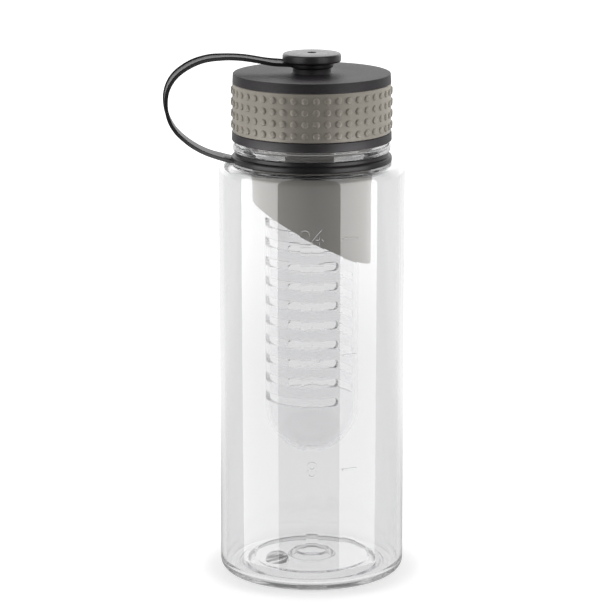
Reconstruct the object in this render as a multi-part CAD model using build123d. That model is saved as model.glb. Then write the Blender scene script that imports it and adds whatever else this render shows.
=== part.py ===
from build123d import *
import os
from math import degrees, radians, tan

# Fruit infuser water bottle. Millimetres, +Z up, origin at the centre of the base where it rests.
# The outline sizes below work from the fruit basket outwards and from the base upwards.

# General clearances and finishing
cut_overrun = 5.0
fuse_depth = 0.4
turning_gap = 0.1
seat_gap = 0.1
free_gap = 0.3
edge_round = 0.5

# Fruit basket
basket_radius = 20.5
basket_wall = 1.8
basket_length = 132.5
slot_pitch = 8.63
slot_height = 3.8
slot_half_angle = 57.0
slot_facing_angle = -113.0
slots_per_row = 2
slots_below_top = 28.5
collar_height = 12.0
collar_wall = 2.6
collar_ledge = 2.0
basket_seal_width = 2.0
basket_seal_below_top = 5.0
basket_seal_depth = 1.3
basket_to_sleeve = 0.2
seal_to_sleeve = 0.1

# Infuser sleeve
sleeve_step = 3.5
sleeve_wall = 1.6
sleeve_length = 66.6
slant_angle = 28.3
basket_below_lid = 33.0
sleeve_neck_gap = 1.1

# Bottle neck and its thread
neck_wall = 2.3
thread_height = 1.4
thread_root_width = 2.2
thread_crest_width = 1.0
thread_lead = 8.0
thread_starts = 2
thread_turns = 1.4
thread_clearance = 0.3
bottle_thread_start = 5.0
ring_seat_step = 1.8
ring_seat_wall = 2.1
bead_step = 3.2
bead_height = 3.1
groove_step = 1.5
groove_height = 0.6
lip_step = 0.5
lip_height = 0.6

# Bottle body
body_height = 183.2
body_wall = 2.0
shoulder_width = 5.74
shoulder_corner = 5.0
base_corner = 4.5
rest_ring_width = 5.0
punt_height = 3.2
punt_slope_width = 5.9
nub_radius = 7.2
nub_height = 2.2
floor_dome_radius = 5.6
floor_dome_height = 2.6
floor_dome_reach = 15.8
floor_dome_aside = 1.8

# Tether ring that swivels on the neck
ring_height = 4.5
ring_flange_height = 2.5
ring_flange_width = 3.46
ring_collar_width = 1.9
ring_round = 0.4

# Lid
lid_gap = 0.2
lid_height = 29.1
lid_top = 2.7
lid_wall = 1.9
lid_foot_height = 3.85
lid_foot_step = 1.85
lid_head_height = 4.2
lid_head_step = 1.5
lid_head_taper = 0.25
lid_head_round = 0.8
plug_length = 11.0
plug_wall = 1.8
plug_bead = 0.5
plug_bead_width = 2.4
gasket_height = 2.9
gasket_to_lid = 0.2

# Grip band
grip_proud = 1.5
bump_radius = 1.55
bump_height = 0.5
bump_sink = 0.05
bump_columns = 45
bump_rows = 4
bump_pitch = 4.93
bump_top_inset = 3.2
bump_first_angle = -86.9

# Swivel button and the boss that holds it
boss_radius = 8.2
boss_rise = 2.3
boss_drop = 7.0
boss_wall = 2.4
stem_radius = 4.0
stem_barb = 0.5
stem_barb_height = 1.6
button_radius = 12.65
button_height = 3.9
button_round = 0.9
dimple_radius = 2.05
dimple_depth = 1.2

# Tether eye and strap
eye_radius = 9.3
eye_height = 2.2
eye_gap = 0.1
button_gap = 0.2
strap_width = 9.6
strap_thickness = 1.6
strap_rim = 1.1
strap_channel = 0.45
root_width = 12.6
loop_reach = 62.6
loop_height = 44.0
root_step = 2.89
split_gap = 0.3

# Radii that follow from those sizes
sleeve_bore = basket_radius + sleeve_step + basket_to_sleeve
sleeve_radius = sleeve_bore + sleeve_wall
neck_bore = sleeve_radius + sleeve_neck_gap
thread_root = neck_bore + neck_wall
thread_crest = thread_root + thread_height
lid_root = thread_crest + thread_clearance
lid_crest = thread_root + thread_clearance
grip_seat = lid_root + lid_wall
grip_radius = grip_seat + grip_proud
lid_foot_radius = grip_seat + lid_foot_step
lid_head_radius = grip_seat + lid_head_step
ring_seat_radius = thread_root + ring_seat_step
ring_bore = ring_seat_radius + free_gap
ring_flange_radius = ring_bore + ring_flange_width
ring_collar_radius = ring_bore + ring_collar_width
root_reach = ring_flange_radius + root_step
bead_radius = ring_seat_radius + bead_step
groove_radius = bead_radius - groove_step
lip_radius = groove_radius + lip_step
body_radius = ring_flange_radius + shoulder_width
inner_radius = body_radius - body_wall
rest_radius = body_radius - base_corner
punt_radius = rest_radius - rest_ring_width - punt_slope_width

# As many rows of slots as the basket's straight wall takes
slotted_wall = basket_length - basket_radius - slots_below_top - slot_height / 2
slot_rows = 1 + int(slotted_wall / slot_pitch)

# Heights that follow from those sizes
ring_base = body_height + lid_gap
ring_top = ring_base + ring_height
bead_base = ring_top + lid_gap
groove_base = bead_base + bead_height
lip_base = groove_base + groove_height
lip_top = lip_base + lip_height
lid_base = lip_top + lid_gap
lid_crown = lid_base + lid_height
ceiling = lid_crown - lid_top
neck_rim = ceiling - gasket_height - seat_gap
grip_base = lid_base + lid_foot_height
grip_top = lid_crown - lid_head_height
collar_top = ceiling - basket_below_lid
basket_bottom = collar_top - basket_length
boss_top = lid_crown + boss_rise
boss_foot = ceiling - boss_drop
eye_base = boss_top + eye_gap
eye_top = eye_base + eye_height
button_base = eye_top + button_gap
button_top = button_base + button_height
bore_foot = boss_foot + boss_wall
stem_foot = bore_foot + free_gap


def turned(points):
    """Solid of revolution about the bottle's axis from an outline of (radius, height) points."""
    return revolve(make_face(Polyline([(r, 0, z) for r, z in points], close=True)), Axis.Z)


def disc(radius, low, high):
    """Round plug from one height to another."""
    return Pos(0, 0, low) * extrude(Circle(radius), high - low)


def tube(outer, inner, low, high):
    return turned([(inner, low), (outer, low), (outer, high), (inner, high)])


def at_radius(part, radius, height):
    """Circular edges of a turned part that lie at one radius and height."""
    rings = part.edges().filter_by(GeomType.CIRCLE)
    return [e for e in rings if abs(e.radius - radius) < turning_gap
            and abs(e.center().Z - height) < turning_gap]


def thread(root, crest, base, start_angle):
    """One helical ridge, broad at its root and narrow at its crest, sunk a little into its wall."""
    outward = 1 if crest > root else -1
    height = thread_lead * thread_turns
    inner = root - outward * fuse_depth
    half_crest = thread_crest_width / 2
    flank = (thread_root_width / 2 - half_crest) / abs(crest - root)
    half_inner = half_crest + flank * abs(crest - inner)
    path = Helix(thread_lead, height, root)
    outline = [(inner, -half_inner), (crest, -half_crest), (crest, half_crest), (inner, half_inner)]
    profile = make_face(Polyline([(r, 0, z) for r, z in outline], close=True))
    ridge = sweep(profile, path=path, is_frenet=True)
    return Pos(0, 0, base) * Rot(0, 0, start_angle) * ridge


def bottle_body():
    inner_floor = punt_height + body_wall
    inner_corner = base_corner - body_wall
    ring_floor = body_wall + edge_round
    outer = [(0, punt_height + nub_height), (nub_radius, punt_height + nub_height),
             (nub_radius + nub_height, punt_height), (punt_radius, punt_height),
             (punt_radius + punt_slope_width, 0), (body_radius, 0), (body_radius, body_height),
             (ring_seat_radius, body_height), (ring_seat_radius, bead_base),
             (bead_radius, bead_base), (bead_radius, groove_base), (groove_radius, groove_base),
             (groove_radius, lip_base), (lip_radius, lip_base), (lip_radius, lip_top),
             (thread_root, lip_top), (thread_root, neck_rim), (0, neck_rim)]
    inner_top = body_height - body_wall
    seat_bore = ring_seat_radius - ring_seat_wall
    throat = seat_bore - neck_bore
    inner = [(0, inner_floor + nub_height), (nub_radius, inner_floor + nub_height),
             (nub_radius + nub_height, inner_floor), (punt_radius, inner_floor),
             (punt_radius + punt_slope_width, ring_floor), (inner_radius, ring_floor),
             (inner_radius, inner_top), (seat_bore, inner_top), (seat_bore, bead_base),
             (neck_bore, bead_base + throat), (neck_bore, neck_rim + cut_overrun),
             (0, neck_rim + cut_overrun)]
    shell = turned(outer)
    shell = fillet(at_radius(shell, body_radius, 0), base_corner)
    shell = fillet(at_radius(shell, body_radius, body_height), shoulder_corner)
    shell = fillet(at_radius(shell, bead_radius, bead_base)
                   + at_radius(shell, bead_radius, groove_base), edge_round)
    hollow = turned(inner)
    hollow = fillet(at_radius(hollow, inner_radius, ring_floor), inner_corner)
    hollow = fillet(at_radius(hollow, inner_radius, inner_top), shoulder_corner - body_wall)
    body = shell - hollow
    for start in range(thread_starts):
        angle = start * 360 / thread_starts
        body += thread(thread_root, thread_crest, lip_top + bottle_thread_start, angle)
    dome_curve = (floor_dome_radius ** 2 + floor_dome_height ** 2) / (2 * floor_dome_height)
    dome = Sphere(dome_curve) & disc(floor_dome_radius, dome_curve - floor_dome_height, dome_curve)
    dome = Pos(-floor_dome_reach, -floor_dome_aside, inner_floor + floor_dome_height - dome_curve) * dome
    return body + dome


def cap_shell():
    outline = [(0, lid_crown), (lid_head_radius - lid_head_taper, lid_crown),
               (lid_head_radius, grip_top), (grip_seat, grip_top), (grip_seat, grip_base),
               (lid_foot_radius, grip_base), (lid_foot_radius, lid_base), (lid_root, lid_base),
               (lid_root, ceiling), (0, ceiling)]
    lid = turned(outline)
    lid = fillet(at_radius(lid, lid_head_radius - lid_head_taper, lid_crown), lid_head_round)
    plug_radius = sleeve_bore - turning_gap
    lid += tube(plug_radius, plug_radius - plug_wall, ceiling - plug_length, ceiling + fuse_depth)
    bead_low = ceiling - plug_length + plug_bead_width
    lid += turned([(plug_radius - fuse_depth, bead_low), (plug_radius, bead_low),
                   (plug_radius + plug_bead, bead_low + plug_bead_width / 2),
                   (plug_radius, bead_low + plug_bead_width),
                   (plug_radius - fuse_depth, bead_low + plug_bead_width)])
    lid += disc(boss_radius, ceiling, boss_top)
    lid += disc(stem_radius + stem_barb + boss_wall, boss_foot, ceiling + fuse_depth)
    # Blind bore with a wider pocket at its foot that the stem's barb snaps into
    lid -= disc(stem_radius + turning_gap, bore_foot, boss_top + cut_overrun)
    lid -= disc(stem_radius + stem_barb + turning_gap, bore_foot,
                stem_foot + stem_barb_height + seat_gap)
    # The lid's ridges lie half a pitch below the bottle's, in the middle of their grooves
    half_pitch = thread_lead / thread_starts / 2
    for start in range(thread_starts):
        angle = start * 360 / thread_starts
        lid += thread(lid_root, lid_crest, lip_top + bottle_thread_start - half_pitch, angle)
    return lid


def grip_band():
    band = tube(grip_radius, grip_seat, grip_base, grip_top)
    curve = (bump_radius ** 2 + bump_height ** 2) / (2 * bump_height)
    plug = extrude(Circle(bump_radius), grip_proud / 2)
    cap = Sphere(curve) & disc(bump_radius, curve - bump_height, curve)
    cap = Pos(0, 0, grip_proud / 2 + bump_height - curve) * cap
    bump = plug + cap
    sunk = grip_radius - grip_proud / 2 - bump_sink
    bumps = []
    for row in range(bump_rows):
        height = grip_top - bump_top_inset - row * bump_pitch
        for column in range(bump_columns):
            angle = bump_first_angle + column * 360 / bump_columns
            bumps.append(Rot(0, 0, angle) * Pos(sunk, 0, height) * Rot(0, 90, 0) * bump)
    return band + bumps


def cap_gasket():
    return tube(lid_root - gasket_to_lid, sleeve_radius + free_gap, neck_rim + seat_gap, ceiling)


def swivel_button():
    head = fillet(disc(button_radius, button_base, button_top).edges(), button_round)
    head -= disc(dimple_radius, button_top - dimple_depth, button_top + cut_overrun)
    stem = disc(stem_radius, stem_foot, button_base + fuse_depth)
    barb_top = stem_foot + stem_barb_height
    barb = turned([(0, stem_foot), (stem_radius - stem_barb, stem_foot),
                   (stem_radius + stem_barb, barb_top - stem_barb), (stem_radius + stem_barb, barb_top),
                   (0, barb_top)])
    return head + (stem - disc(stem_radius + stem_barb, stem_foot, barb_top)) + barb


def strap_corners():
    """Route of the carry strap seen from the side: from the eye out, over and down to the ring."""
    loop_foot = ring_base + ring_flange_height / 2
    loop_depth = loop_reach - root_reach
    button_shares = [0.498, 1.402]
    loop_shares = [0.5115, 0.7901]
    depth_shares = [1.0345, 1.0136, 0.4798, -0.3447]
    reaches = [share * button_radius for share in button_shares]
    reaches += [share * loop_reach for share in loop_shares]
    reaches += [root_reach + share * loop_depth for share in depth_shares]
    height_shares = [0.9284, 0.9457, 1.0027, 0.9820, 0.7452, 0.3430, 0.0716, -0.0555]
    return [Vector(-reach, 0, loop_foot + rise * loop_height)
            for reach, rise in zip(reaches, height_shares)]


def strap_path():
    """Each corner's arc takes a share of the shorter of the two runs that meet there."""
    corners = strap_corners()
    runs = [end - start for start, end in zip(corners, corners[1:])]
    arc_shares = [0.2, 0.48, 0.48, 0.48, 0.48, 0.48]
    radii = []
    for share, before, after in zip(arc_shares, runs, runs[1:]):
        half_turn = radians(before.get_angle(after)) / 2
        radii.append(share * min(before.length, after.length) / tan(half_turn))
    return FilletPolyline(*corners, radius=radii)


def strap_sweep(half_width, inner_face, outer_face):
    """Band that follows the strap's route between two depths of its thickness."""
    path = strap_path()
    start = Plane(origin=path @ 0, x_dir=(0, 1, 0), z_dir=path % 0)
    middle = (inner_face + outer_face) / 2
    section = start * Pos(0, middle) * Rectangle(2 * half_width, outer_face - inner_face)
    return sweep(section, path=path)


def strap_blank():
    """The whole strap at its root's full width, with the shallow channel in its outer face."""
    half = strap_thickness / 2
    blank = strap_sweep(root_width / 2, -half, half)
    channel = strap_sweep(strap_width / 2 - strap_rim, half - strap_channel, half + strap_channel)
    return blank - channel


def strap_plan(low, high, root_half):
    """Plan outline of the strap between two heights: narrow in the loop, wider at its root."""
    narrow = strap_width / 2
    flare = root_reach + root_width
    far = loop_reach + cut_overrun
    side = [(0, root_half), (-root_reach, root_half), (-flare, narrow), (-far, narrow)]
    outline = side + [(x, -y) for x, y in reversed(side)]
    return Pos(0, 0, low) * extrude(make_face(Polyline(outline, close=True)), high - low)


def tether_strap():
    loop_foot = ring_base + ring_flange_height / 2
    loop_middle = loop_foot + loop_height / 2
    blank = strap_blank()
    lower = blank & strap_plan(body_height, loop_middle, root_width / 2)
    upper = blank & strap_plan(loop_middle, button_top, strap_width / 2)
    strap = lower + upper
    # The strap keeps its thickness past the button and is the eye's own height beneath it
    under_button = button_radius + free_gap
    strap -= disc(under_button, eye_top, button_top)
    stop = Pos(-root_reach - split_gap / 2, 0, loop_foot) * Box(
        loop_reach, 2 * root_width, loop_height, align=(Align.MIN, Align.CENTER, Align.CENTER))
    strap -= stop
    strap += disc(eye_radius, eye_base, eye_top)
    strap -= disc(stem_radius + turning_gap, body_height, button_top)
    return strap


def tether_ring():
    flange_top = ring_base + ring_flange_height
    ring = turned([(ring_bore, ring_base), (ring_flange_radius, ring_base),
                   (ring_flange_radius, flange_top), (ring_collar_radius, flange_top + ring_round),
                   (ring_collar_radius, ring_top), (ring_bore, ring_top)])
    ring = fillet(at_radius(ring, ring_flange_radius, ring_base)
                  + at_radius(ring, ring_flange_radius, flange_top), ring_round)
    # Lug that leaves the flange in line with the last run of the strap
    knee, tip = strap_corners()[-2:]
    lug_reach = root_reach - split_gap / 2
    lug_root = (ring_collar_radius + ring_flange_radius) / 2
    end_height = tip.Z + (knee.Z - tip.Z) * (lug_reach + tip.X) / (tip.X - knee.X)
    outline = [(-lug_root, ring_base + ring_round), (-lug_root, flange_top - ring_round),
               (-lug_reach, end_height + strap_thickness / 2),
               (-lug_reach, end_height - strap_thickness / 2)]
    face = make_face(Polyline([(x, 0, z) for x, z in outline], close=True))
    return ring + extrude(face, root_width / 2, both=True)


def infuser_sleeve():
    slant_height = ceiling - sleeve_length
    drop = (sleeve_radius + cut_overrun) * tan(radians(slant_angle))
    sleeve = tube(sleeve_radius, sleeve_bore, slant_height - drop, ceiling)
    side = sleeve_radius + cut_overrun
    below = slant_height - 2 * drop
    wedge = make_face(Polyline([(-side, 0, slant_height + drop), (side, 0, slant_height - drop),
                                (side, 0, below), (-side, 0, below)], close=True))
    sleeve -= extrude(wedge, side, both=True)
    # Groove that snaps over the bead on the lid's plug
    bead_low = ceiling - plug_length + plug_bead_width
    cut = sleeve_bore + plug_bead
    sleeve -= turned([(sleeve_bore - fuse_depth, bead_low - turning_gap),
                      (sleeve_bore, bead_low - turning_gap), (cut, bead_low + plug_bead_width / 2),
                      (sleeve_bore, bead_low + plug_bead_width + turning_gap),
                      (sleeve_bore - fuse_depth, bead_low + plug_bead_width + turning_gap)])
    return sleeve


def basket_cup(radius, foot, head):
    """Round-ended cup: half a ball below a straight wall."""
    return Pos(0, 0, foot + radius) * Sphere(radius) + disc(radius, foot + radius, head)


def slot_cutter(bore):
    """Cutter for one slot round the basket's wall, with round ends that point at its axis."""
    near, far = bore / 2, basket_radius + cut_overrun
    half = slot_height / 2
    reach = slot_half_angle - degrees(half / basket_radius)
    outline = [(near, -half), (far, -half), (far, half), (near, half)]
    face = make_face(Polyline([(r, 0, z) for r, z in outline], close=True))
    cutter = Rot(0, 0, -reach) * revolve(face, Axis.Z, 2 * reach)
    for end in (-reach, reach):
        cutter += Rot(0, 0, end) * Pos(near, 0, 0) * Rot(0, 90, 0) * extrude(Circle(half), far - near)
    return cutter


def infuser_basket():
    collar_radius = basket_radius + sleeve_step
    collar_base = collar_top - collar_height
    ledge_top = collar_base + collar_ledge
    basket = basket_cup(basket_radius, basket_bottom, ledge_top)
    basket += disc(collar_radius, collar_base, collar_top)
    basket -= disc(collar_radius - collar_wall, ledge_top, collar_top + cut_overrun)
    bore = basket_radius - basket_wall
    basket -= basket_cup(bore, basket_bottom + basket_wall, ledge_top + cut_overrun)
    seal_top = collar_top - basket_seal_below_top + basket_seal_width / 2 + seat_gap
    seal_low = seal_top - basket_seal_width - 2 * seat_gap
    basket -= tube(collar_radius + cut_overrun, collar_radius - basket_seal_depth, seal_low, seal_top)
    cutters = []
    for row in range(slot_rows):
        height = collar_top - slots_below_top - row * slot_pitch
        for column in range(slots_per_row):
            facing = slot_facing_angle + column * 360 / slots_per_row
            cutters.append(Pos(0, 0, height) * Rot(0, 0, facing) * slot_cutter(bore))
    return basket - cutters


def basket_seal():
    middle = collar_top - basket_seal_below_top
    inner = basket_radius + sleeve_step - basket_seal_depth
    outer = sleeve_bore - seal_to_sleeve
    ring = tube(outer, inner, middle - basket_seal_width / 2, middle + basket_seal_width / 2)
    rim = at_radius(ring, outer, middle - basket_seal_width / 2)
    rim += at_radius(ring, outer, middle + basket_seal_width / 2)
    return fillet(rim, basket_seal_width / 4)


pieces = {
    "bottle_body": bottle_body(),
    "cap_shell": cap_shell(),
    "grip_band": grip_band(),
    "cap_gasket": cap_gasket(),
    "swivel_button": swivel_button(),
    "tether_strap": tether_strap(),
    "tether_ring": tether_ring(),
    "infuser_sleeve": infuser_sleeve(),
    "infuser_basket": infuser_basket(),
    "basket_seal": basket_seal(),
}

os.makedirs("parts", exist_ok=True)
for node, piece in pieces.items():
    solids = piece.solids()
    export_step(solids[0] if len(solids) == 1 else Compound(children=list(solids)),
                f"parts/{node}.step")
    box = piece.bounding_box()
    print(node, len(solids), round(piece.volume, 1), tuple(box.min), tuple(box.max))
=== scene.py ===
import bpy
import bmesh
from math import cos, pi, radians, sin, sqrt, tan
from mathutils import Matrix, Vector


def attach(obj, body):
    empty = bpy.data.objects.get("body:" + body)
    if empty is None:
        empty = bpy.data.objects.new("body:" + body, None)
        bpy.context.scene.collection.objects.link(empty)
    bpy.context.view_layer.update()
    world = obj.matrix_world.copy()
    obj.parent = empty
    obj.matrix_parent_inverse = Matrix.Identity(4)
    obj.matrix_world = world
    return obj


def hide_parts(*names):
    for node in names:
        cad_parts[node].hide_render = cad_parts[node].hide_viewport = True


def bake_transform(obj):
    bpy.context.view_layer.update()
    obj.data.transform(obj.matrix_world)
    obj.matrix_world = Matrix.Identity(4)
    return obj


mm = 0.001
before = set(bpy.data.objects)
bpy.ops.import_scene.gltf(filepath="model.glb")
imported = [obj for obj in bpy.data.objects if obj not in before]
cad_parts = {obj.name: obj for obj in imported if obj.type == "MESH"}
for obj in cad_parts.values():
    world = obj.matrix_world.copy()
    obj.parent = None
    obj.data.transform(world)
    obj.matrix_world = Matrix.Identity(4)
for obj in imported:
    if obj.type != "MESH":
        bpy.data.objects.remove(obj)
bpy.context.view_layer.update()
print("frame loaded", len(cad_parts), "nodes")

spinSteps = 160
weld = 0.002 * mm
# thread ridges: half height at the root and at the crest, and how far the root is sunk in the wall
thread = {"rootHalf": 1.27, "crestHalf": 0.5, "sunk": 0.4, "stepsPerTurn": 72}


# outlines and turned shapes

def quarter(steps):
    # the angles from 0 to a right angle
    return [pi / 2 * i / steps for i in range(steps + 1)]


def roundedLine(points, segments=6, closed=False):
    # each point is (across, up, round); a round above 0 turns that corner into an arc
    count = len(points)
    line = []
    for i, (x, z, roundness) in enumerate(points):
        ends = not closed and i in (0, count - 1)
        if ends or roundness <= 0:
            line.append((x, z))
            continue
        here = Vector((x, z))
        back = Vector(points[i - 1][:2]) - here
        ahead = Vector(points[(i + 1) % count][:2]) - here
        half = back.angle(ahead) / 2
        reach = min(roundness / tan(half), back.length * 0.49, ahead.length * 0.49)
        radius = reach * tan(half)
        middle = here + (back.normalized() + ahead.normalized()).normalized() * radius / sin(half)
        first = here + back.normalized() * reach - middle
        sweep = pi - 2 * half
        turn = 1 if back.x * ahead.y - back.y * ahead.x < 0 else -1
        for step in range(segments + 1):
            angle = turn * sweep * step / segments
            line.append((middle.x + first.x * cos(angle) - first.y * sin(angle),
                         middle.y + first.x * sin(angle) + first.y * cos(angle)))
    return line


def spunMesh(outline, steps=spinSteps, closed=False, segments=6):
    bm = bmesh.new()
    verts = [bm.verts.new((r * mm, 0, z * mm)) for r, z in roundedLine(outline, segments, closed)]
    edges = [bm.edges.new(pair) for pair in zip(verts, verts[1:])]
    if closed:
        edges.append(bm.edges.new((verts[-1], verts[0])))
    bmesh.ops.spin(bm, geom=verts + edges, cent=(0, 0, 0), axis=(0, 0, 1), angle=2 * pi,
                   steps=steps, use_merge=True, use_duplicate=False)
    bmesh.ops.remove_doubles(bm, verts=bm.verts, dist=weld)
    bmesh.ops.recalc_face_normals(bm, faces=bm.faces)
    return bm


def newVerts(grown):
    return [v for v in grown if isinstance(v, bmesh.types.BMVert)]


def newEdges(grown):
    return [e for e in grown if isinstance(e, bmesh.types.BMEdge)]


def looseObject(name, bm):
    mesh = bpy.data.meshes.new(name)
    bm.to_mesh(mesh)
    bm.free()
    return bpy.data.objects.new(name, mesh)


def shadeSmooth(mesh, sharp):
    for face in mesh.polygons:
        face.use_smooth = True
    mesh.set_sharp_from_angle(angle=radians(sharp))


def madePiece(name, bm, material, sharp=38):
    piece = looseObject(name, bm)
    piece.data.materials.append(material)
    shadeSmooth(piece.data, sharp)
    bpy.context.scene.collection.objects.link(piece)
    return piece


def ridgeOutline(root, crest, middle, out):
    # out is 1 on an outside thread and -1 on an inside one
    sunkRoot = root - out * thread["sunk"]
    rootHalf, crestHalf = out * thread["rootHalf"], out * thread["crestHalf"]
    return [(sunkRoot, middle - rootHalf), (crest, middle - crestHalf),
            (crest, middle + crestHalf), (sunkRoot, middle + rootHalf)]


def helixRidge(bm, outline, lead, turns, startAngle):
    # one thread ridge, swept as a screw and closed at both ends
    verts = [bm.verts.new((r * mm, 0, z * mm)) for r, z in outline]
    edges = [bm.edges.new(pair) for pair in zip(verts, verts[1:] + verts[:1])]
    bmesh.ops.rotate(bm, verts=verts, cent=(0, 0, 0), matrix=Matrix.Rotation(startAngle, 3, "Z"))
    steps = int(turns * thread["stepsPerTurn"])
    swept = bmesh.ops.spin(bm, geom=verts + edges, cent=(0, 0, 0), axis=(0, 0, 1),
                           dvec=(0, 0, lead * turns * mm / steps), angle=turns * 2 * pi,
                           steps=steps, use_duplicate=False)
    bmesh.ops.edgeloop_fill(bm, edges=edges)
    bmesh.ops.edgeloop_fill(bm, edges=newEdges(swept["geom_last"]))


def joinedBy(piece, other, how):
    # one boolean, applied, after which the other object is gone
    change = piece.modifiers.new("join", "BOOLEAN")
    change.operation = how
    change.solver = "EXACT"
    change.object = other
    graph = bpy.context.evaluated_depsgraph_get()
    mesh = bpy.data.meshes.new_from_object(piece.evaluated_get(graph))
    piece.modifiers.clear()
    old = piece.data
    piece.data = mesh
    bpy.data.meshes.remove(old)
    bpy.data.objects.remove(other)


def smoothed(piece, sharp):
    # the slivers that a boolean leaves are closed up first
    bm = bmesh.new()
    bm.from_mesh(piece.data)
    bmesh.ops.remove_doubles(bm, verts=bm.verts, dist=weld)
    bmesh.ops.dissolve_degenerate(bm, edges=bm.edges, dist=weld)
    bm.to_mesh(piece.data)
    bm.free()
    shadeSmooth(piece.data, sharp)


# materials

def newMaterial(name):
    material = bpy.data.materials.new(name)
    material.use_nodes = True
    nodes = material.node_tree.nodes
    return material, nodes, material.node_tree.links, nodes["Principled BSDF"]


def fed(nodes, links, kind, values, operation=None):
    # a new node, whose inputs are set to numbers and colours or linked to other nodes' outputs
    node = nodes.new(kind)
    if operation:
        node.operation = operation
    for socket, value in values.items():
        if isinstance(value, bpy.types.NodeSocket):
            links.new(value, node.inputs[socket])
        else:
            node.inputs[socket].default_value = value
    return node


def calc(nodes, links, operation, *values):
    return fed(nodes, links, "ShaderNodeMath", dict(enumerate(values)), operation).outputs[0]


def mixed(nodes, links, share, first, second):
    return fed(nodes, links, "ShaderNodeMixShader", {0: share, 1: first, 2: second}).outputs[0]


def clearPlastic(name, tint, shadow):
    # solid clear wall; lamps shine through it, so that what is inside is lit
    material, nodes, links, surface = newMaterial(name)
    surface.inputs["Base Color"].default_value = (*tint, 1)
    surface.inputs["Roughness"].default_value = 0
    surface.inputs["IOR"].default_value = 1.54
    surface.inputs["Transmission Weight"].default_value = 1
    rays = nodes.new("ShaderNodeLightPath").outputs
    thin = fed(nodes, links, "ShaderNodeBsdfTransparent", {"Color": (*shadow, 1)}).outputs[0]
    either = calc(nodes, links, "MAXIMUM", rays["Is Shadow Ray"], rays["Is Diffuse Ray"])
    links.new(mixed(nodes, links, either, surface.outputs[0], thin),
              nodes["Material Output"].inputs["Surface"])
    return material


def makeGrainGroup():
    # moulded skin: fine grain for the bump and gloss, and slow cloudiness for the colour
    group = bpy.data.node_groups.new("mouldedGrain", "ShaderNodeTree")
    sockets = {
        "INPUT": {"Vector": "Vector", "Scale": "Float", "Roughness": "Float", "Roughness Spread": "Float",
                  "Tone": "Color", "Tone Spread": "Float"},
        "OUTPUT": {"Height": "Float", "Roughness": "Float", "Color": "Color"},
    }
    for way, names in sockets.items():
        for name, kind in names.items():
            group.interface.new_socket(name, in_out=way, socket_type="NodeSocket" + kind)
    nodes, links = group.nodes, group.links
    given = nodes.new("NodeGroupInput").outputs
    fine = fed(nodes, links, "ShaderNodeTexNoise", {
        "Vector": given["Vector"], "Scale": given["Scale"], "Detail": 3}).outputs["Fac"]
    slow = fed(nodes, links, "ShaderNodeTexNoise", {
        "Vector": given["Vector"], "Scale": 70, "Detail": 2}).outputs["Fac"]
    around = calc(nodes, links, "SUBTRACT", fine, 0.5)
    rougher = calc(nodes, links, "MULTIPLY_ADD", around, given["Roughness Spread"], given["Roughness"])
    cloud = calc(nodes, links, "ADD", slow, around)
    swing = calc(nodes, links, "MULTIPLY_ADD", cloud, given["Tone Spread"], 1)
    tone = fed(nodes, links, "ShaderNodeVectorMath", {0: given["Tone"], "Scale": swing}, "SCALE")
    fed(nodes, links, "NodeGroupOutput", {
        "Height": fine, "Roughness": rougher, "Color": tone.outputs["Vector"]})
    return group


def mouldedPlastic(name, finish):
    material, nodes, links, surface = newMaterial(name)
    grain = nodes.new("ShaderNodeGroup")
    grain.node_tree = grainGroup
    grain.inputs["Scale"].default_value = finish["grain"]
    grain.inputs["Roughness"].default_value = finish["roughness"]
    grain.inputs["Roughness Spread"].default_value = finish["roughnessSpread"]
    grain.inputs["Tone"].default_value = (*finish["colour"], 1)
    grain.inputs["Tone Spread"].default_value = finish["toneSpread"]
    links.new(nodes.new("ShaderNodeTexCoord").outputs["Object"], grain.inputs["Vector"])
    relief = fed(nodes, links, "ShaderNodeBump", {
        "Strength": finish["bump"], "Distance": 0.05 * mm, "Height": grain.outputs["Height"]})
    surface.inputs["Specular IOR Level"].default_value = finish.get("shine", 0.5)
    links.new(grain.outputs["Color"], surface.inputs["Base Color"])
    links.new(grain.outputs["Roughness"], surface.inputs["Roughness"])
    links.new(relief.outputs["Normal"], surface.inputs["Normal"])
    return material


finishes = {
    "blackLid": {"colour": (0.02, 0.018, 0.02), "roughness": 0.56, "roughnessSpread": 0.25, "grain": 1300,
                 "toneSpread": 0.2, "bump": 0.35, "shine": 0.4},
    "blackButton": {"colour": (0.02, 0.018, 0.02), "roughness": 0.34, "roughnessSpread": 0.3, "grain": 1300,
                    "toneSpread": 0.2, "bump": 0.5},
    "blackTether": {"colour": (0.014, 0.013, 0.014), "roughness": 0.42, "roughnessSpread": 0.15,
                    "grain": 1200, "toneSpread": 0.15, "bump": 0.1, "shine": 0.25},
    "beigeSleeve": {"colour": (0.37, 0.348, 0.31), "roughness": 0.26, "roughnessSpread": 0.05, "grain": 900,
                    "toneSpread": 0.03, "bump": 0.05, "shine": 1.0},
    "gripSilicone": {"colour": (0.34, 0.314, 0.27), "roughness": 0.5, "roughnessSpread": 0.2, "grain": 2200,
                     "toneSpread": 0.1, "bump": 0.15},
    "sealSilicone": {"colour": (0.6, 0.59, 0.56), "roughness": 0.45, "roughnessSpread": 0.1, "grain": 900,
                     "toneSpread": 0.06, "bump": 0.05},
}
grainGroup = makeGrainGroup()
clearBottle = clearPlastic("clearBottle", (0.86, 0.86, 0.865), (0.9, 0.9, 0.9))
clearBasket = clearPlastic("clearBasket", (0.95, 0.95, 0.953), (0.93, 0.93, 0.93))
blackLid, blackButton, blackTether, beigeSleeve, gripSilicone, sealSilicone = (
    mouldedPlastic(name, finish) for name, finish in finishes.items())
print("materials made")


# bottle

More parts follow.
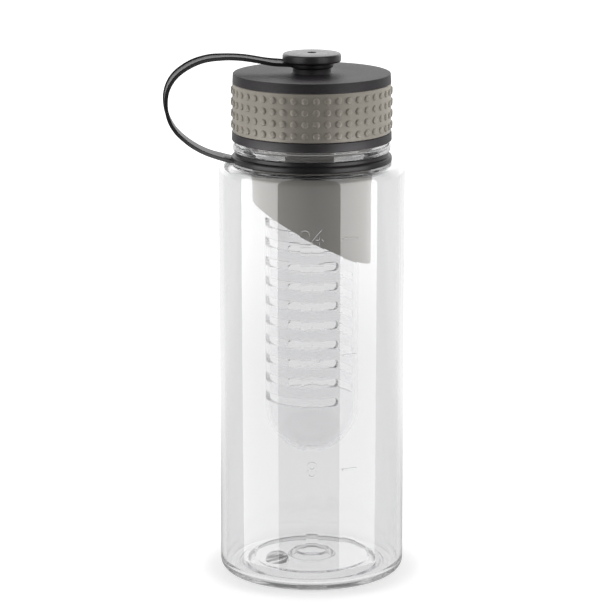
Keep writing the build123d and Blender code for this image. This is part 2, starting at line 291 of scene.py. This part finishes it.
bottle = {
    "radius": 40.5, "wall": 2.0, "top": 183.2, "shoulderRound": 5.0, "baseRound": 4.5,
    "restRing": 31.0, "punt": 25.1, "puntHeight": 3.2, "puntSlope": 2.6, "puntFoot": 0.9,
    "nub": 7.2, "nubHeight": 2.2,
    "seat": 31.0, "seatWall": 2.1, "bead": 34.2, "beadLow": 188.1, "beadHigh": 191.2,
    "groove": 32.7, "lipLow": 191.8, "lip": 33.2, "lipHigh": 192.4,
    "threadRoot": 29.2, "threadCrest": 30.6, "bore": 26.9, "rim": 216.0,
    "threadStart": 197.4, "lead": 8.0, "turns": 1.4,
    "domeAcross": -15.2, "domeAside": -10.5, "domeRadius": 5.2, "domeHeight": 4.6, "domeStretch": 1.05,
    "domeSunk": 0.6,
    "markHeights": (55.0, 105.7, 156.4), "markNumbers": ("8", "16", "24"),
    "markSize": 10.5, "markRaise": 0.65, "markHalf": 0.8, "markCell": 0.16, "markSmooth": 3, "markCurve": 6,
    "tickFrom": 19.0, "tickTo": 28.0, "tickHeight": 0.8,
}


def bottleOutline(b):
    # up the outside from the middle of the base, and down the inside
    wall = b["wall"]
    floor = b["puntHeight"] + wall
    inner = b["radius"] - wall
    seatBore = b["seat"] - b["seatWall"]
    outside = [
        (0, b["puntHeight"] + b["nubHeight"], 0), (b["nub"] - 0.6, b["puntHeight"] + b["nubHeight"], 1.2),
        (b["nub"] + 1.4, b["puntHeight"], 1.0), (b["punt"], b["puntHeight"], 1.2),
        (b["punt"] + b["puntSlope"], b["puntFoot"], 1.6), (b["restRing"] + 1.5, 0, 2.5),
        (b["radius"], 0, b["baseRound"]),
        (b["radius"], b["top"], b["shoulderRound"]), (b["seat"], b["top"], 0.5),
        (b["seat"], b["beadLow"], 0.3), (b["bead"], b["beadLow"], 0.7), (b["bead"], b["beadHigh"], 0.7),
        (b["groove"], b["beadHigh"], 0.15), (b["groove"], b["lipLow"], 0.15),
        (b["lip"], b["lipLow"], 0.2), (b["lip"], b["lipHigh"], 0.2),
        (b["threadRoot"], b["lipHigh"], 0.4), (b["threadRoot"], b["rim"], 0.7)]
    inside = [
        (b["bore"], b["rim"], 0.7), (b["bore"], b["beadLow"] + 2.0, 1.0),
        (seatBore, b["beadLow"], 1.0), (seatBore, b["top"] - wall, 1.2),
        (inner, b["top"] - wall, b["shoulderRound"] - wall), (inner, wall + 0.5, 4.0),
        (b["restRing"] + 0.5, wall + 0.5, 2.0), (b["punt"] + 0.6, floor, 2.0), (b["nub"] + 3.4, floor, 1.5),
        (b["nub"] + 0.4, floor + b["nubHeight"], 1.2), (0, floor + b["nubHeight"], 0)]
    return outside + inside


def markObject(text, height, b):
    # a plain raised number
    curve = bpy.data.curves.new("mark", "FONT")
    curve.body = text
    curve.size = b["markSize"] * mm
    curve.align_x = "CENTER"
    curve.align_y = "CENTER"
    curve.extrude = b["markHalf"] * mm
    curve.resolution_u = b["markCurve"]
    words = bpy.data.objects.new("mark", curve)
    graph = bpy.context.evaluated_depsgraph_get()
    flat = bpy.data.objects.new("mark", bpy.data.meshes.new_from_object(words.evaluated_get(graph)))
    bpy.data.objects.remove(words)
    # remade in small cells and smoothed, which rounds its edges
    bpy.context.scene.collection.objects.link(flat)
    cells = flat.modifiers.new("cells", "REMESH")
    cells.mode = "VOXEL"
    cells.voxel_size = b["markCell"] * mm
    soft = flat.modifiers.new("soft", "SMOOTH")
    soft.iterations = b["markSmooth"]
    graph = bpy.context.evaluated_depsgraph_get()
    mesh = bpy.data.meshes.new_from_object(flat.evaluated_get(graph))
    bpy.data.objects.remove(flat)
    bm = bmesh.new()
    bm.from_mesh(mesh)
    wrapOnBottle(bm, height, b)
    return looseObject("mark", bm)


def wrapOnBottle(bm, height, b):
    # flat shape lying in x and y is stood up and bent round the front of the wall
    for vert in bm.verts:
        angle = vert.co.x / (b["radius"] * mm)
        out = (b["radius"] + b["markRaise"] - b["markHalf"]) * mm + vert.co.z
        vert.co = Vector((out * sin(angle), -out * cos(angle), height * mm + vert.co.y))


def domeObject(b):
    # the low blister on the base, cut off inside the base's wall
    dome = bmesh.new()
    bmesh.ops.create_uvsphere(dome, u_segments=32, v_segments=16, radius=b["domeRadius"] * mm)
    bmesh.ops.scale(dome, vec=(1, b["domeStretch"], b["domeHeight"] / b["domeRadius"]), verts=dome.verts)
    bmesh.ops.translate(dome, vec=(b["domeAcross"] * mm, b["domeAside"] * mm,
                                   (b["puntHeight"] + b["wall"]) * mm), verts=dome.verts)
    cut = bmesh.ops.bisect_plane(dome, geom=dome.verts[:] + dome.edges[:] + dome.faces[:],
                                 plane_co=(0, 0, (b["puntHeight"] + b["wall"] * b["domeSunk"]) * mm),
                                 plane_no=(0, 0, -1), clear_outer=True)
    bmesh.ops.edgeloop_fill(dome, edges=newEdges(cut["geom_cut"]))
    bmesh.ops.recalc_face_normals(dome, faces=dome.faces)
    return looseObject("dome", dome)


def tickObject(height, b):
    # the short bar beside a number
    tick = bmesh.new()
    bmesh.ops.create_grid(tick, x_segments=8, y_segments=1, size=0.5)
    first, last = (radians(b[k]) * b["radius"] for k in ("tickFrom", "tickTo"))
    bmesh.ops.scale(tick, vec=((last - first) * mm, b["tickHeight"] * mm, 1), verts=tick.verts)
    bmesh.ops.translate(tick, vec=((first + last) / 2 * mm, 0, -b["markHalf"] * mm), verts=tick.verts)
    raised = bmesh.ops.extrude_face_region(tick, geom=tick.faces[:])["geom"]
    bmesh.ops.translate(tick, vec=(0, 0, b["markHalf"] * 2 * mm), verts=newVerts(raised))
    bmesh.ops.recalc_face_normals(tick, faces=tick.faces)
    wrapOnBottle(tick, height, b)
    return looseObject("tick", tick)


def makeBottle(b):
    piece = madePiece("bottle", spunMesh(bottleOutline(b), steps=192), clearBottle)
    bpy.context.view_layer.update()
    ridges = bmesh.new()
    ridge = ridgeOutline(b["threadRoot"], b["threadCrest"], b["threadStart"], 1)
    for start in (0, pi):
        helixRidge(ridges, ridge, b["lead"], b["turns"], start)
    bmesh.ops.recalc_face_normals(ridges, faces=ridges.faces)
    joinedBy(piece, looseObject("ridges", ridges), "UNION")
    joinedBy(piece, domeObject(b), "UNION")
    for number, height in zip(b["markNumbers"], b["markHeights"]):
        joinedBy(piece, markObject(number, height, b), "UNION")
        joinedBy(piece, tickObject(height, b), "UNION")
    smoothed(piece, 25)
    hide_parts("bottle_body")
    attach(piece, "bottle")
    print("bottle", len(piece.data.polygons), "faces")


# lid

lid = {
    "low": 192.6, "footTop": 196.45, "foot": 34.65, "seat": 32.8, "headLow": 217.5, "head": 34.3,
    "crown": 221.7, "crownRadius": 34.05, "crownRound": 0.35, "dish": 0.35, "ceiling": 219.0,
    "dishFrom": 0.6, "dishRound": 60.0, "root": 30.9, "crest": 29.5, "plug": 24.1, "plugWall": 1.8,
    "plugLow": 208.0, "boss": 8.2, "bossTop": 224.0, "bossRound": 1.6, "bore": 4.1, "boreFoot": 214.4,
    "barbRoom": 0.5, "barbHigh": 2.0, "bossLow": 212.0, "bossLowRadius": 6.9,
    "threadStart": 195.4, "lead": 8.0, "turns": 1.4,
}


def makeLid(c):
    dish, barbTop = c["crown"] - c["dish"], c["boreFoot"] + c["barbHigh"]
    barbBore, plugBore = c["bore"] + c["barbRoom"], c["plug"] - c["plugWall"]
    outline = [
        (0, c["boreFoot"], 0), (barbBore, c["boreFoot"], 0.2), (barbBore, barbTop, 0.2),
        (c["bore"], barbTop, 0.2), (c["bore"], c["bossTop"], 0.3), (c["boss"], c["bossTop"], 0.5),
        (c["boss"], dish, c["bossRound"]), (c["crownRadius"] * c["dishFrom"], dish, c["dishRound"]),
        (c["crownRadius"], c["crown"], c["crownRound"]),
        (c["head"], c["headLow"], 0.35), (c["seat"], c["headLow"], 0.1), (c["seat"], c["footTop"], 0.1),
        (c["foot"] - 0.1, c["footTop"], 0.35), (c["foot"], c["low"], 0.5), (c["root"], c["low"], 0.3),
        (c["root"], c["ceiling"], 0.6), (c["plug"], c["ceiling"], 0.4), (c["plug"], c["plugLow"], 0.4),
        (plugBore, c["plugLow"], 0.4), (plugBore, c["ceiling"], 1.0),
        (c["bossLowRadius"], c["ceiling"], 0.8), (c["bossLowRadius"], c["bossLow"], 0.6),
        (0, c["bossLow"], 0)]
    bm = spunMesh(outline)
    ridge = ridgeOutline(c["root"], c["crest"], c["threadStart"], -1)
    for start in (0, pi):
        helixRidge(bm, ridge, c["lead"], c["turns"], start)
    bmesh.ops.recalc_face_normals(bm, faces=bm.faces)
    piece = madePiece("lid", bm, blackLid)
    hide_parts("cap_shell")
    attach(piece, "lid")


button = {
    "radius": 12.65, "low": 226.5, "top": 230.4, "roundTop": 1.0, "roundLow": 0.8, "dimple": 2.05,
    "dimpleDepth": 1.1, "stem": 4.0, "foot": 214.7, "barb": 4.5, "barbLow": 1.0, "barbHigh": 1.5,
    "barbTop": 1.6, "neck": 0.8, "crownRise": 0.25, "crownFrom": 0.6,
}


def makeButton(b):
    low = b["top"] - b["dimpleDepth"]
    outline = [
        (0, low, 0), (b["dimple"] - 0.5, low, 0.4), (b["dimple"], b["top"], 0.3),
        (b["radius"] * b["crownFrom"], b["top"], 6.0),
        (b["radius"], b["top"] - b["crownRise"], b["roundTop"]), (b["radius"], b["low"], b["roundLow"]),
        (b["stem"] + b["neck"], b["low"], 0.2), (b["stem"], b["low"] - 0.1, 0.1),
        (b["stem"], b["foot"] + b["barbTop"], 0.1), (b["barb"], b["foot"] + b["barbHigh"], 0.1),
        (b["barb"], b["foot"] + b["barbLow"], 0.2), (b["stem"] - 0.5, b["foot"], 0.2), (0, b["foot"], 0)]
    piece = madePiece("button", spunMesh(outline), blackButton)
    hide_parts("swivel_button")
    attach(piece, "button")


grip = {
    "low": 196.45, "top": 217.5, "inner": 32.8, "radius": 34.3, "room": 0.05, "edgeRound": 0.45,
    "columns": 45, "rows": 4, "pitch": 4.93, "topInset": 3.2, "firstAngle": 3.1,
    "dotRadius": 1.52, "dotFlat": 0.6, "dotHeight": 0.68, "dotSunk": 0.3, "dotSteps": 14,
}


def gripDot(g):
    # one raised dot lying on the xy plane: flat in the middle and round towards its foot
    bm = bmesh.new()
    fall = g["dotRadius"] - g["dotFlat"]
    outline = [(0, g["dotHeight"])]
    outline += [(g["dotFlat"] + fall * sin(a), g["dotHeight"] * cos(a)) for a in quarter(4)]
    outline += [(g["dotRadius"], -g["dotSunk"]), (0, -g["dotSunk"])]
    verts = [bm.verts.new((r * mm, 0, z * mm)) for r, z in outline]
    edges = [bm.edges.new(pair) for pair in zip(verts, verts[1:])]
    bmesh.ops.spin(bm, geom=verts + edges, cent=(0, 0, 0), axis=(0, 0, 1), angle=2 * pi,
                   steps=g["dotSteps"], use_merge=True, use_duplicate=False)
    bmesh.ops.remove_doubles(bm, verts=bm.verts, dist=weld)
    bmesh.ops.recalc_face_normals(bm, faces=bm.faces)
    return bm


def makeGrip(g):
    inner, low, top = g["inner"] + g["room"], g["low"] + g["room"], g["top"] - g["room"]
    bm = spunMesh([(inner, low, 0), (g["radius"], low, g["edgeRound"]),
                   (g["radius"], top, g["edgeRound"]), (inner, top, 0)],
                  steps=180, closed=True, segments=4)
    dot = looseObject("dot", gripDot(g)).data
    for column in range(g["columns"]):
        turn = Matrix.Rotation(radians(g["firstAngle"] + 360 * column / g["columns"]), 4, "Z")
        for row in range(g["rows"]):
            height = g["top"] - g["topInset"] - row * g["pitch"]
            known = len(bm.verts)
            bm.from_mesh(dot)
            bm.verts.ensure_lookup_table()
            out = Matrix.Translation((0, -g["radius"] * mm, height * mm)) @ Matrix.Rotation(pi / 2, 4, "X")
            bmesh.ops.transform(bm, matrix=turn @ out, verts=bm.verts[known:])
    piece = madePiece("gripBand", bm, gripSilicone, sharp=60)
    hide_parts("grip_band")
    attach(piece, "lid")


seals = {
    "gasket": {"bore": 26.15, "radius": 30.65, "low": 216.15, "top": 218.95, "edge": 0.4},
    "basketSeal": {"bore": 22.75, "radius": 24.1, "low": 180.05, "top": 181.95, "edge": 0.6},
}


def makeSeal(name):
    q = seals[name]
    bm = spunMesh([(q["bore"], q["low"], q["edge"]), (q["radius"], q["low"], q["edge"]),
                   (q["radius"], q["top"], q["edge"]), (q["bore"], q["top"], q["edge"])], closed=True)
    return madePiece(name, bm, sealSilicone)


def makeSeals():
    gasket = makeSeal("gasket")
    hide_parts("cap_gasket")
    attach(gasket, "lid")
    ring = makeSeal("basketSeal")
    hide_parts("basket_seal")
    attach(ring, "basket")


# tether

tether = {
    "ringBore": 31.3, "flange": 34.76, "collar": 33.2, "low": 183.4, "flangeTop": 185.9, "top": 187.9,
    "width": 9.6, "thickness": 1.6, "edgeHigh": 0.2, "edgeWide": 0.05, "channel": 0.45, "channelFrom": 0.17,
    "channelTo": 0.27, "rootWidth": 12.8, "flareFrom": 0.76, "flareCurve": 1.5, "stations": 90,
    "eyeRadius": 9.3, "eyeLow": 224.1, "eyeTop": 226.3, "stem": 4.1, "headRoom": 13.0,
    "holeLow": 215, "holeTop": 235,
}
# the strap's route seen from the side: along -x, up, and how widely each corner is rounded
strapRoute = [(6.3, 225.5, 0), (17.74, 226.26, 42), (32.02, 228.77, 61), (49.46, 227.86, 27.6),
              (63.46, 217.44, 16.1), (62.94, 199.74, 19.8), (49.62, 187.8, 36), (29.05, 182.21, 0)]
# how far the strap is turned about its own line, in degrees, at shares of its length
strapTwist = [(0, -2), (0.08, -4.5), (0.14, -2), (0.25, -2), (0.34, -4.5), (0.42, -7), (0.5, -8.5),
              (0.56, -7.5), (0.62, -5.5), (0.68, -2.5), (0.74, -1), (0.8, 0), (0.86, 0), (0.92, 1), (1, 1)]


def strapStations(count):
    # evenly spaced points on the route, each with its share of the length
    line = [Vector((-x, z)) for x, z in roundedLine(strapRoute, segments=24)]
    lengths = [0]
    for a, b in zip(line, line[1:]):
        lengths.append(lengths[-1] + (b - a).length)
    total = lengths[-1]
    stations = []
    for i in range(count + 1):
        at = total * i / count
        k = max(j for j in range(len(line) - 1) if lengths[j] <= at + 1e-9)
        share = (at - lengths[k]) / max(lengths[k + 1] - lengths[k], 1e-9)
        point = line[k].lerp(line[k + 1], share)
        stations.append((at / total, point))
    return stations


def twistAt(share):
    for (a, first), (b, last) in zip(strapTwist, strapTwist[1:]):
        if share <= b:
            step = (share - a) / (b - a)
            return first + (last - first) * step * step * (3 - 2 * step)
    return strapTwist[-1][1]


def strapSection(t):
    # width runs from -1 to 1 along x, and the outer face, with its channel, is up
    half = t["thickness"] / 2
    side = half - t["edgeHigh"]
    return [(-1, -side), (-1, side), (-1 + t["edgeWide"], half), (-1 + t["channelFrom"], half),
            (-1 + t["channelTo"], half - t["channel"]), (1 - t["channelTo"], half - t["channel"]),
            (1 - t["channelFrom"], half), (1 - t["edgeWide"], half), (1, side), (1, -side),
            (1 - t["edgeWide"], -half), (-1 + t["edgeWide"], -half)]


def strapPlace(t, stations, i):
    # the matrix that puts the section at one station
    share, point = stations[i]
    ahead = stations[min(i + 1, len(stations) - 1)][1]
    behind = stations[max(i - 1, 0)][1]
    along = Vector((ahead.x - behind.x, 0, ahead.y - behind.y)).normalized()
    across = Vector((0, 1, 0))
    turned = Matrix.Rotation(radians(twistAt(share)), 3, along)
    across, up = turned @ across, turned @ across.cross(along)
    flare = min(max((share - t["flareFrom"]) / (1 - t["flareFrom"]), 0), 1)
    width = t["width"] + (t["rootWidth"] - t["width"]) * flare ** t["flareCurve"]
    return Matrix((
        (across.x * width / 2, along.x, up.x, point.x),
        (across.y * width / 2, along.y, up.y, 0),
        (across.z * width / 2, along.z, up.z, point.y),
        (0, 0, 0, 1)))


def makeTether(t):
    stations = strapStations(t["stations"])
    bm = bmesh.new()
    verts = [bm.verts.new((x, 0, z)) for x, z in strapSection(t)]
    edges = firstLoop = [bm.edges.new(pair) for pair in zip(verts, verts[1:] + verts[:1])]
    before = strapPlace(t, stations, 0)
    bmesh.ops.transform(bm, matrix=before, verts=verts)
    for i in range(1, len(stations)):
        place = strapPlace(t, stations, i)
        grown = bmesh.ops.extrude_edge_only(bm, edges=edges)["geom"]
        verts = newVerts(grown)
        edges = [e for e in newEdges(grown) if all(v in verts for v in e.verts)]
        bmesh.ops.transform(bm, matrix=place @ before.inverted(), verts=verts)
        before = place
    bmesh.ops.edgeloop_fill(bm, edges=firstLoop)
    bmesh.ops.edgeloop_fill(bm, edges=edges)
    bmesh.ops.scale(bm, vec=(mm, mm, mm), verts=bm.verts)
    bmesh.ops.recalc_face_normals(bm, faces=bm.faces)
    piece = madePiece("tether", bm, blackTether)
    bpy.context.view_layer.update()
    ring = spunMesh([(t["ringBore"], t["low"], 0.2), (t["flange"], t["low"], 0.6),
                     (t["flange"], t["flangeTop"], 0.8), (t["collar"], t["flangeTop"] + 0.3, 0.4),
                     (t["collar"], t["top"], 0.3), (t["ringBore"], t["top"], 0.2)], closed=True)
    joinedBy(piece, looseObject("ring", ring), "UNION")
    eye = spunMesh([(0, t["eyeLow"], 0), (t["eyeRadius"], t["eyeLow"], 0.6),
                    (t["eyeRadius"], t["eyeTop"], 0.6), (0, t["eyeTop"], 0)], steps=96)
    joinedBy(piece, looseObject("eye", eye), "UNION")
    # the stem's hole, and the room that the button's head needs over the eye
    top = t["holeTop"]
    for radius, low in ((t["stem"], t["holeLow"]), (t["headRoom"], t["eyeTop"])):
        hole = spunMesh([(0, low, 0), (radius, low, 0), (radius, top, 0), (0, top, 0)], steps=96)
        joinedBy(piece, looseObject("hole", hole), "DIFFERENCE")
    smoothed(piece, 35)
    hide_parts("tether_ring", "tether_strap")
    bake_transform(piece)


# infuser

sleeve = {
    "radius": 25.8, "bore": 24.2, "top": 218.95, "foot": 130.0, "slant": 28.3, "middle": 152.4,
    "lipRound": 0.35, "lipAngle": 0.6, "lipBelow": 200.0,
}


def makeSleeve(s):
    bm = spunMesh([(s["bore"], s["foot"], 0), (s["radius"], s["foot"], 0), (s["radius"], s["top"], 0.3),
                   (s["bore"], s["top"], 0.3)], closed=True)
    slant = radians(s["slant"])
    cut = bmesh.ops.bisect_plane(bm, geom=bm.verts[:] + bm.edges[:] + bm.faces[:],
                                 plane_co=(0, 0, s["middle"] * mm), plane_no=(sin(slant), 0, cos(slant)),
                                 clear_inner=True)
    bmesh.ops.bridge_loops(bm, edges=newEdges(cut["geom_cut"]))
    bmesh.ops.recalc_face_normals(bm, faces=bm.faces)
    lip = [e for e in bm.edges if e.is_manifold and e.calc_face_angle() > s["lipAngle"]
           and all(v.co.z < s["lipBelow"] * mm for v in e.verts)]
    bmesh.ops.bevel(bm, geom=lip, offset=s["lipRound"] * mm, offset_type="OFFSET", segments=2, profile=0.5,
                    affect="EDGES", material=-1)
    piece = madePiece("sleeve", bm, beigeSleeve)
    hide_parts("infuser_sleeve")
    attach(piece, "lid")


basket = {
    "radius": 20.5, "wall": 1.8, "foot": 53.5, "ledge": 174.0, "ledgeThick": 2.0, "top": 186.0,
    "collar": 24.0, "collarWall": 2.6, "grooveLow": 179.9, "grooveHigh": 182.1, "groove": 22.7,
    "rows": 10, "pitch": 8.63, "firstRow": 157.5, "slotHeight": 3.8, "slotHalf": 57.0, "slotFacing": -23.0,
    "slotsPerRow": 2, "cutFrom": 15.0, "cutTo": 23.5, "domeSteps": 24, "endSteps": 7, "midSteps": 12,
}


def slotCutter(cutter, k, turn, height):
    # a rounded slot, laid flat as one strip, thickened, then bent round the axis
    strip = bmesh.new()
    endRadius = k["slotHeight"] / 2
    half = radians(k["slotHalf"]) * k["radius"]
    straight = half - endRadius
    ends = [half - endRadius * (1 - cos(a)) for a in quarter(k["endSteps"])]
    middle = [straight * (i / k["midSteps"] - 1) for i in range(1, 2 * k["midSteps"])]
    across = [-x for x in ends] + middle + ends[::-1]
    low = [strip.verts.new((x, 0, 0)) for x in across]
    row = [strip.edges.new(pair) for pair in zip(low, low[1:])]
    bmesh.ops.extrude_edge_only(strip, edges=row)
    upper = [v for v in strip.verts if v not in low]
    for verts, way in ((low, -1), (upper, 1)):
        for vert in verts:
            past = max(abs(vert.co.x) - straight, 0)
            vert.co.z = way * sqrt(max(endRadius ** 2 - past ** 2, 0))
    bmesh.ops.remove_doubles(strip, verts=strip.verts, dist=0.001)
    grown = bmesh.ops.extrude_face_region(strip, geom=strip.faces[:])["geom"]
    far = set(newVerts(grown))
    for vert in strip.verts:
        angle = vert.co.x / k["radius"] + radians(turn)
        out = k["cutTo"] if vert in far else k["cutFrom"]
        vert.co = Vector((out * sin(angle), -out * cos(angle), vert.co.z + height)) * mm
    bmesh.ops.recalc_face_normals(strip, faces=strip.faces)
    mesh = bpy.data.meshes.new("slot")
    strip.to_mesh(mesh)
    strip.free()
    cutter.from_mesh(mesh)
    bpy.data.meshes.remove(mesh)


def makeBasket(k):
    r, wall, foot = k["radius"], k["wall"], k["foot"]
    bore = r - wall
    ledgeTop = k["ledge"] + k["ledgeThick"]
    collarBore = k["collar"] - k["collarWall"]
    angles = quarter(k["domeSteps"])
    outside = [(r * sin(a), foot + r * (1 - cos(a)), 0) for a in angles]
    inside = [(bore * sin(a), foot + wall + bore * (1 - cos(a)), 0) for a in reversed(angles)]
    top = [(r, k["ledge"], 0.5), (k["collar"], k["ledge"], 0.4), (k["collar"], k["grooveLow"], 0.1),
           (k["groove"], k["grooveLow"], 0.2), (k["groove"], k["grooveHigh"], 0.2),
           (k["collar"], k["grooveHigh"], 0.1), (k["collar"], k["top"], 0.4), (collarBore, k["top"], 0.4),
           (collarBore, ledgeTop, 0.6), (bore, ledgeTop, 0.5)]
    piece = madePiece("basket", spunMesh(outside + top + inside, steps=144), clearBasket)
    bpy.context.view_layer.update()
    cutter = bmesh.new()
    for row in range(k["rows"]):
        for column in range(k["slotsPerRow"]):
            slotCutter(cutter, k, k["slotFacing"] + column * 360 / k["slotsPerRow"],
                       k["firstRow"] - row * k["pitch"])
    joinedBy(piece, looseObject("cutter", cutter), "DIFFERENCE")
    smoothed(piece, 30)
    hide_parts("infuser_basket")
    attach(piece, "basket")
    print("basket", len(piece.data.polygons), "faces")


makeBottle(bottle)
makeLid(lid)
makeButton(button)
makeGrip(grip)
makeSeals()
makeTether(tether)
makeSleeve(sleeve)
makeBasket(basket)
print("pieces made")


# studio

studio = {
    "cameraPlace": (-1.85, -1189.0, 396.0), "pitch": 13.17, "lens": 162.8, "sensor": 36, "clipEnd": 20,
    # each ramp: where it starts and ends, and its value at either end
    "skyHigh": (0.35, 0.6, 1.0, 0.2), "skyFront": (-0.6, 0.2, 0.85, 1.0),
    "mirrorBack": (0.3, 0.8, 0.2, 1.8), "mirrorHigh": (0.6, 0.95, 1.0, 0.2),
    # the second ramp here is a painted contact shadow: the floor's glow halved close round the base
    "glow": (0.12, 0.5, 0.29, 1.0), "paintedContactShadow": (0.042, 0.053, 0.5, 1.0),
    "floorFront": (-0.3, 0.0, 0.85, 1.0), "floorMirror": (0.05, 0.3, 0.35, 1.0),
    "cardRise": (0.09, 0.165, 3.1, 5.8), "cardDim": (0.188, 0.198, 1.0, 0.28),
    "softLight": 0.33, "floorHalf": 6, "floorColour": 0.5, "floorRoughness": 0.8, "shadowShare": 0.95,
    "cardNear": 60, "cardHigh": 560, "leftCard": (28.0, 65.9), "rightCard": (23.15, 59.3), "bounces": 128,
}
lamps = {
    "leftLamp": {"place": (-800, 30, 350), "target": (0, 0, 120), "size": (400, 700), "power": 4.1},
    "rightLamp": {"place": (800, 30, 350), "target": (0, 0, 120), "size": (400, 700), "power": 4.1},
    "topLamp": {"place": (0, 500, 900), "target": (0, 0, 150), "size": (900, 500), "power": 3.0},
}


def ramp(nodes, links, value, low, high, atLow, atHigh):
    node = fed(nodes, links, "ShaderNodeMapRange", {
        "Value": value, "From Min": low, "From Max": high, "To Min": atLow, "To Max": atHigh})
    node.interpolation_type = "SMOOTHSTEP"
    return node.outputs["Result"]


def emitter(nodes, links, kind, strength):
    return fed(nodes, links, kind, {"Color": (1, 1, 1, 1), "Strength": strength}).outputs[0]


def byRay(nodes, links, usual, mirrored, through, camera):
    # the shader that each kind of ray sees
    path = nodes.new("ShaderNodeLightPath").outputs
    last = usual
    for ray, shader in (("Is Glossy Ray", mirrored), ("Is Transmission Ray", through),
                        ("Is Camera Ray", camera)):
        last = mixed(nodes, links, path[ray], last, shader)
    return last


def makeWorld(s):
    world = bpy.data.worlds.new("studio")
    bpy.context.scene.world = world
    world.use_nodes = True
    nodes, links = world.node_tree.nodes, world.node_tree.links
    nodes.clear()
    out = nodes.new("ShaderNodeOutputWorld")
    place = nodes.new("ShaderNodeTexCoord").outputs["Generated"]
    split = fed(nodes, links, "ShaderNodeSeparateXYZ", {0: place}).outputs
    high = ramp(nodes, links, split["Z"], *s["skyHigh"])
    front = ramp(nodes, links, split["Y"], *s["skyFront"])
    back = ramp(nodes, links, split["Y"], *s["mirrorBack"])
    overhead = ramp(nodes, links, split["Z"], *s["mirrorHigh"])
    kind = "ShaderNodeBackground"
    links.new(byRay(nodes, links,
                    emitter(nodes, links, kind, s["softLight"]),
                    emitter(nodes, links, kind, calc(nodes, links, "MULTIPLY", overhead, back)),
                    emitter(nodes, links, kind, calc(nodes, links, "MULTIPLY", high, front)),
                    emitter(nodes, links, kind, 1.0)), out.inputs["Surface"])


def makeFloor(s):
    bm = bmesh.new()
    bmesh.ops.create_grid(bm, x_segments=1, y_segments=1, size=s["floorHalf"])
    floor = looseObject("floor", bm)
    bpy.context.scene.collection.objects.link(floor)
    material, nodes, links, surface = newMaterial("floorWhite")
    surface.inputs["Base Color"].default_value = (s["floorColour"],) * 3 + (1,)
    surface.inputs["Roughness"].default_value = s["floorRoughness"]
    surface.inputs["Specular IOR Level"].default_value = 0
    place = nodes.new("ShaderNodeNewGeometry").outputs["Position"]
    split = fed(nodes, links, "ShaderNodeSeparateXYZ", {0: place}).outputs
    away = fed(nodes, links, "ShaderNodeVectorMath", {0: place}, "LENGTH").outputs["Value"]
    glow = ramp(nodes, links, away, *s["glow"])
    # painted contact shadow: the floor's glow is dimmed to half right round the base
    paintedContactShadow = ramp(nodes, links, away, *s["paintedContactShadow"])
    front = ramp(nodes, links, split["Y"], *s["floorFront"])
    back = ramp(nodes, links, split["Y"], *s["floorMirror"])
    # seen: part glow, part lit surface, so that the shadow stays; the glow is also halved close round the
    # base and back to full 53 mm from the middle, a painted contact shadow
    kind = "ShaderNodeEmission"
    lit = fed(nodes, links, "ShaderNodeBsdfDiffuse", {"Color": (s["shadowShare"],) * 3 + (1,)}).outputs[0]
    shine = emitter(nodes, links, kind, calc(nodes, links, "MULTIPLY", glow, paintedContactShadow))
    seen = fed(nodes, links, "ShaderNodeAddShader", {0: lit, 1: shine}).outputs[0]
    links.new(byRay(nodes, links, surface.outputs[0],
                    emitter(nodes, links, kind, back),
                    emitter(nodes, links, kind, front),
                    seen), nodes["Material Output"].inputs["Surface"])
    floor.data.materials.append(material)


def makeLamp(name, lamp):
    light = bpy.data.lights.new(name, "AREA")
    light.shape = "RECTANGLE"
    light.size, light.size_y = (side * mm for side in lamp["size"])
    light.energy = lamp["power"]
    place, target = Vector(lamp["place"]), Vector(lamp["target"])
    thing = bpy.data.objects.new(name, light)
    thing.location = place * mm
    thing.rotation_euler = (target - place).to_track_quat("-Z", "Y").to_euler()
    thing.visible_camera = thing.visible_glossy = thing.visible_transmission = False
    bpy.context.scene.collection.objects.link(thing)


def makeCard(name, side, s):
    # a tall bowed panel beside the bottle, seen only in reflections
    bm = bmesh.new()
    first, last = (radians(angle) for angle in s[name])
    start = bm.verts.new((side * s["cardNear"] * sin(first) * mm, -s["cardNear"] * cos(first) * mm, 0))
    bmesh.ops.spin(bm, geom=[start], cent=(0, 0, 0), axis=(0, 0, side), angle=last - first,
                   steps=16, use_duplicate=False)
    raised = bmesh.ops.extrude_edge_only(bm, edges=bm.edges[:])["geom"]
    bmesh.ops.translate(bm, vec=(0, 0, s["cardHigh"] * mm), verts=newVerts(raised))
    card = looseObject(name, bm)
    bpy.context.scene.collection.objects.link(card)
    material, nodes, links = newMaterial(name)[:3]
    place = nodes.new("ShaderNodeNewGeometry").outputs["Position"]
    up = fed(nodes, links, "ShaderNodeSeparateXYZ", {0: place}).outputs["Z"]
    rise = ramp(nodes, links, up, *s["cardRise"])
    dim = ramp(nodes, links, up, *s["cardDim"])
    strength = calc(nodes, links, "MULTIPLY", rise, dim)
    links.new(emitter(nodes, links, "ShaderNodeEmission", strength),
              nodes["Material Output"].inputs["Surface"])
    material.cycles.emission_sampling = "NONE"
    card.data.materials.append(material)
    card.visible_camera = card.visible_diffuse = card.visible_transmission = card.visible_shadow = False


def makeStudio(s):
    makeWorld(s)
    makeFloor(s)
    makeCard("leftCard", -1, s)
    makeCard("rightCard", 1, s)
    for name, lamp in lamps.items():
        makeLamp(name, lamp)
    data = bpy.data.cameras.new("camera")
    data.lens = s["lens"]
    data.sensor_width = s["sensor"]
    data.clip_end = s["clipEnd"]
    camera = bpy.data.objects.new("camera", data)
    camera.location = Vector(s["cameraPlace"]) * mm
    camera.rotation_euler = (radians(90 - s["pitch"]), 0, 0)
    bpy.context.scene.collection.objects.link(camera)
    bpy.context.scene.camera = camera
    bpy.context.scene.view_settings.view_transform = "Standard"
    cycles = bpy.context.scene.cycles
    # light is piped a long way inside the clear walls
    cycles.max_bounces = cycles.glossy_bounces = cycles.transmission_bounces = s["bounces"]
    cycles.transparent_max_bounces = s["bounces"]
    cycles.caustics_refractive = cycles.caustics_reflective = False
    print("studio set")


makeStudio(studio)
